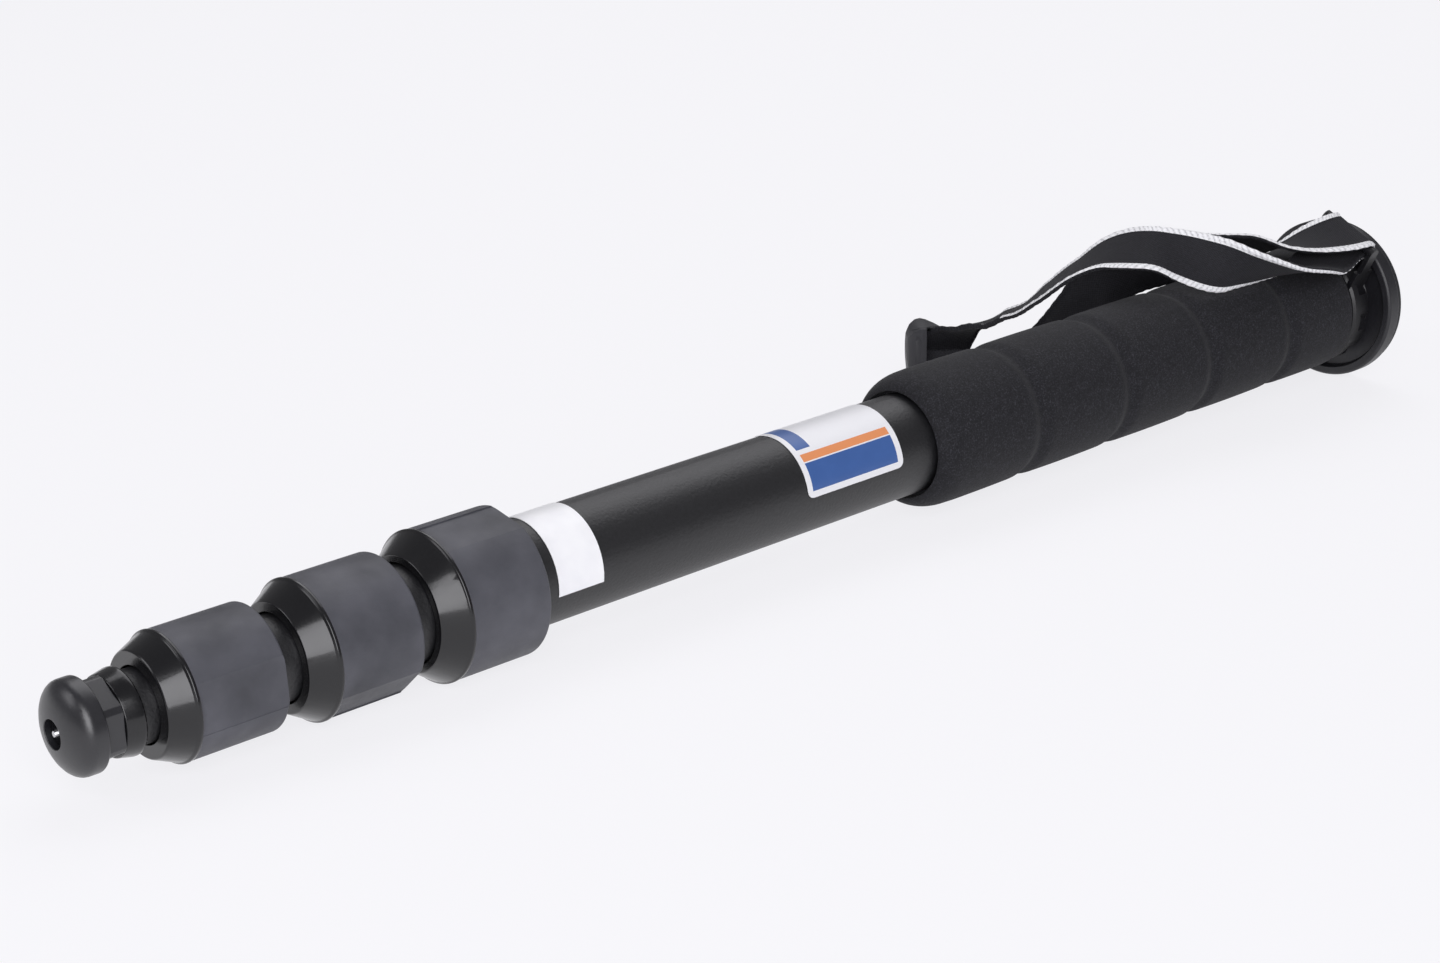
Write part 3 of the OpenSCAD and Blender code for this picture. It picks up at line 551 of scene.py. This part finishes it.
def rounded_copy(node, name, width, segments=3, angle=32):
    """A copy of a CAD node's mesh with its sharp edges rounded, in millimetres."""
    obj = bpy.data.objects.new(name, nodes[node].data.copy())
    obj.data.materials.clear()
    scene.collection.objects.link(obj)
    activate(obj)
    bpy.ops.object.mode_set(mode="EDIT")
    bpy.ops.mesh.select_all(action="SELECT")
    bpy.ops.mesh.remove_doubles(threshold=1e-6)
    bpy.ops.mesh.select_all(action="SELECT")
    bpy.ops.mesh.dissolve_limited(angle_limit=math.radians(0.4))
    bpy.ops.object.mode_set(mode="OBJECT")
    applied(obj, "BEVEL", width=width * MM, segments=segments, limit_method="ANGLE",
            angle_limit=math.radians(angle), use_clamp_overlap=True)
    smooth(obj, 35)
    applied(obj, "WEIGHTED_NORMAL", keep_sharp=True)
    return obj


def stands_for(obj, node, body, finish):
    obj.data.materials.append(finish)
    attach(obj, body)
    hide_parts(node)
    return obj


KEEPER_TURN = math.radians(144)
KEEPER_AT = Vector((-134.7, 78.2, -25.6))
KEEPER_ALONG = Vector((math.cos(KEEPER_TURN), math.sin(KEEPER_TURN), 0))
KEEPER_NEAR = Vector((-math.sin(KEEPER_TURN), math.cos(KEEPER_TURN), 0))
KEEPER_TOP = [(-8.25, 22.6), (-4.95, 24.6), (-1.95, 26.1), (0.0, 26.6), (1.95, 26.3), (4.05, 25.0), (5.7, 22.6)]


def keeper_top(x):
    """Height of the keeper's top edge along it."""
    for (a, low), (b, high) in zip(KEEPER_TOP, KEEPER_TOP[1:]):
        if x <= b:
            return low + (high - low) * (x - a) / (b - a)
    return KEEPER_TOP[-1][1]


def keeper_roof():
    """The keeper's closed top, from its round end to its slanting mouth."""
    across, deep = 12, 10
    points, faces = [], []
    for j in range(across + 1):
        y = -5.3 + 10.6 * j / across
        mouth = -0.3 - 0.62 * (5 - y)
        back = max(mouth + 0.2, -1 + math.sqrt(max(0.0, 28 - y * y)))
        for i in range(deep + 1):
            x = mouth + (back - mouth) * i / deep
            up = Vector((0, 0, keeper_top(x) - 0.3))
            points.append((KEEPER_AT + KEEPER_ALONG * x + KEEPER_NEAR * y + up) * MM)
            if i < deep and j < across:
                a = j * (deep + 1) + i
                faces.append((a, a + 1, a + deep + 2, a + deep + 1))
    roof = bare_mesh("keeper_roof", points, faces=faces)
    applied(roof, "SOLIDIFY", thickness=0.8 * MM, offset=0)
    return roof


def make_keeper():
    """The moulded keeper with soft edges and a small gate mark on its near face."""
    obj = rounded_copy("strap_keeper", "loop_keeper", 0.55)
    at = (KEEPER_AT + KEEPER_ALONG * 3 + KEEPER_NEAR * 6.8 + Vector((0, 0, 22.5))) * MM
    deselect()
    bpy.ops.mesh.primitive_uv_sphere_add(segments=24, ring_count=12, radius=1.6 * MM, location=at)
    ball = bpy.context.object
    applied(obj, "BOOLEAN", object=ball, operation="DIFFERENCE", solver="EXACT")
    bpy.data.objects.remove(ball)
    roof = keeper_roof()
    activate(obj)
    roof.select_set(True)
    bpy.ops.object.join()
    smooth(obj, 35)
    return obj


stands_for(make_keeper(), "strap_keeper", "upper", keeper_rubber)
ROUNDED = [
    ("foot_pad", "finger_foot", 0.7, "foot", "foot_rubber"),
    ("foot_skirt", "foot_ring", 0.3, "foot", "gloss_black"),
    ("camera_plate", "round_plate", 0.5, "upper", "plate_metal"),
    ("strap_collar", "lug_collar", 0.4, "upper", "black_plastic"),
]
for k in (1, 2, 3):
    ROUNDED.append((f"lock_{k}_sleeve", f"grip_sleeve_{k}", 0.4, f"lock_{k}", "grip_rubber"))
    ROUNDED.append((f"lock_{k}_collar", f"nose_collar_{k}", 0.3, f"lock_{k}", "gloss_black"))
for node, name, width, body, slot in ROUNDED:
    stands_for(rounded_copy(node, name, width), node, body, FINISHES[node])

# The label, with round corners


def make_label():
    low, high, corner = math.radians(-87), math.radians(31), 2.2
    inner, outer = 16.1, 16.25
    rows = [0.0, 0.15, 0.4, 0.8, 1.3, 2.2]
    middle = [corner + (LABEL_LEN - 2 * corner) * i / 12 for i in range(1, 12)]
    rows = rows + middle + [LABEL_LEN - r for r in reversed(rows)]
    across = 48
    points, faces = [], []
    for r in (outer, inner):
        for d in rows:
            e = max(0.0, corner - min(d, LABEL_LEN - d))
            inset = (corner - math.sqrt(corner ** 2 - e ** 2)) / outer
            for j in range(across + 1):
                a = low + inset + (high - low - 2 * inset) * j / across
                points.append((-(LABEL_U + d) * MM, r * math.sin(a) * MM, r * math.cos(a) * MM))
    n, m = len(rows), across + 1
    for i in range(n - 1):
        for j in range(across):
            quad = (i * m + j, i * m + j + 1, (i + 1) * m + j + 1, (i + 1) * m + j)
            faces += [quad, tuple(n * m + v for v in reversed(quad))]
    rim = list(range(m)) + [i * m + across for i in range(1, n)]
    rim += [(n - 1) * m + j for j in range(across - 1, -1, -1)] + [i * m for i in range(n - 2, 0, -1)]
    for a, b in zip(rim, rim[1:] + rim[:1]):
        faces.append((b, a, n * m + a, n * m + b))
    obj = bare_mesh("label_film", points, faces=faces)
    face_outward(obj)
    smooth(obj, 40)
    return obj


stands_for(make_label(), "tube_label", "upper", FINISHES["tube_label"])

# The pad's ridged face and the camera stud's thread


def make_pad():
    outer, inner, thick = 27.6, 7.0, 2.0
    profile = [(thick, inner), (0.25, inner), (0.0, inner + 0.25)]
    r = inner + 1.2
    while r < outer - 2.2:
        profile += [(0.0, r), (0.32, r + 0.22), (0.32, r + 0.5), (0.0, r + 0.72)]
        r += 1.7
    profile += [(0.0, outer - 0.5), (0.15, outer - 0.15), (0.5, outer), (thick, outer)]
    obj = turned("ridged_pad", profile, 128)
    smooth(obj, 30)
    return obj


stands_for(make_pad(), "plate_pad", "upper", pad_rubber)

STUD_R, STUD_BIG_R, STUD_TIP = 3.175, 4.7625, -5.5
THREAD_PITCH, THREAD_DEPTH = 1.27, 0.62


def make_stud():
    """The camera stud with its quarter-inch thread and a driver slot."""
    around, rows = 72, 84
    points, faces = [], []
    for i in range(rows + 1):
        u = STUD_TIP + (2.2 - STUD_TIP) * i / rows
        lead = min(1.0, (u - STUD_TIP) / 0.9)
        for j in range(around):
            turn = j / around
            tooth = abs(((u / THREAD_PITCH - turn) % 1.0) * 2 - 1)
            cut = THREAD_DEPTH * min(1.0, max(0.0, tooth * 1.25 - 0.12))
            r = STUD_R - 0.55 * (1 - lead) - cut * lead
            a = math.tau * turn
            points.append((-u * MM, r * math.sin(a) * MM, r * math.cos(a) * MM))
    for u, r in ((2.2, STUD_BIG_R - 0.3), (2.5, STUD_BIG_R), (11.0, STUD_BIG_R), (11.2, STUD_BIG_R - 0.2)):
        for j in range(around):
            a = math.tau * j / around
            points.append((-u * MM, r * math.sin(a) * MM, r * math.cos(a) * MM))
    for i in range(rows + 4):
        for j in range(around):
            k = (j + 1) % around
            faces.append((i * around + j, i * around + k, (i + 1) * around + k, (i + 1) * around + j))
    faces.append(tuple(range(around)))
    faces.append(tuple(range((rows + 4) * around, (rows + 5) * around)))
    obj = bare_mesh("threaded_stud", points, faces=faces)
    face_outward(obj)
    bpy.ops.mesh.primitive_cube_add(size=1, location=(-STUD_TIP * MM, 0, 0))
    cutter = bpy.context.object
    cutter.scale = (2.4 * MM, 14 * MM, 1.2 * MM)
    applied(obj, "BOOLEAN", object=cutter, operation="DIFFERENCE", solver="EXACT")
    bpy.data.objects.remove(cutter)
    smooth(obj, 40)
    return obj


stands_for(make_stud(), "camera_stud", "upper", steel)

# Floor, light and background

FLOOR_TILT = 0.01628


def floor_z(x):
    return -0.0283 + (-x - 0.003) * FLOOR_TILT - 0.0001


REACH = 20.0
FLOOR_GLOW = 0.82
corners = ((-REACH, -REACH), (REACH, -REACH), (REACH, REACH), (-REACH, REACH))
floor = bare_mesh("floor", [(x, y, floor_z(x)) for x, y in corners], faces=[(0, 1, 2, 3)])


def studio_floor():
    """A pale floor: bright and even to the camera, and an ordinary pale surface to everything else."""
    f = Finish("studio_floor")
    f.set(base_color=(0.84, 0.84, 0.86, 1), roughness=0.8, specular_ior_level=0.1)
    glow = f.add("ShaderNodeEmission")
    glow.inputs["Color"].default_value = (0.975, 0.97, 1.0, 1)
    rays = f.add("ShaderNodeLightPath")
    mirrored = f.math("MAXIMUM", rays.outputs["Is Glossy Ray"], rays.outputs["Is Transmission Ray"])
    seen = f.math("MAXIMUM", rays.outputs["Is Camera Ray"], mirrored)
    blend = f.add("ShaderNodeMixShader")
    f.link(f.math("MULTIPLY", seen, FLOOR_GLOW), blend.inputs["Fac"])
    f.link(f.shader.outputs["BSDF"], blend.inputs[1])
    f.link(glow.outputs["Emission"], blend.inputs[2])
    f.link(blend.outputs["Shader"], f.tree.nodes["Material Output"].inputs["Surface"])
    return f.mat


floor.data.materials.append(studio_floor())

world = bpy.data.worlds.new("studio")
scene.world = world
world.use_nodes = True
tree = world.node_tree
ray = tree.nodes.new("ShaderNodeLightPath")
seen = tree.nodes.new("ShaderNodeMath")
seen.operation = "MAXIMUM"
back = tree.nodes["Background"]
back.inputs["Color"].default_value = (0.965, 0.96, 1.0, 1)
level = tree.nodes.new("ShaderNodeMapRange")
level.inputs["To Min"].default_value = 0.22
level.inputs["To Max"].default_value = 0.95
tree.links.new(ray.outputs["Is Camera Ray"], seen.inputs[0])
tree.links.new(ray.outputs["Is Transmission Ray"], seen.inputs[1])
tree.links.new(seen.outputs[0], level.inputs["Value"])
tree.links.new(level.outputs["Result"], back.inputs["Strength"])


def softbox(name, at, towards, size, power):
    data = bpy.data.lights.new(name, "AREA")
    data.shape, data.size, data.size_y = "RECTANGLE", size[0], size[1]
    data.energy = power
    data.color = (0.97, 0.965, 1.0)
    lamp = bpy.data.objects.new(name, data)
    scene.collection.objects.link(lamp)
    lamp.location = at
    lamp.rotation_euler = (Vector(towards) - Vector(at)).to_track_quat("-Z", "Y").to_euler()


MIDDLE = (-0.26, 0.0, 0.0)
softbox("overhead_light", (0.45, 0.6, 1.25), MIDDLE, (1.5, 1.3), 10)
softbox("front_light", (-1.12, -1.16, 0.72), MIDDLE, (1.1, 1.3), 21)
softbox("side_light", (-1.5, 0.5, 0.9), MIDDLE, (0.7, 0.7), 3.5)
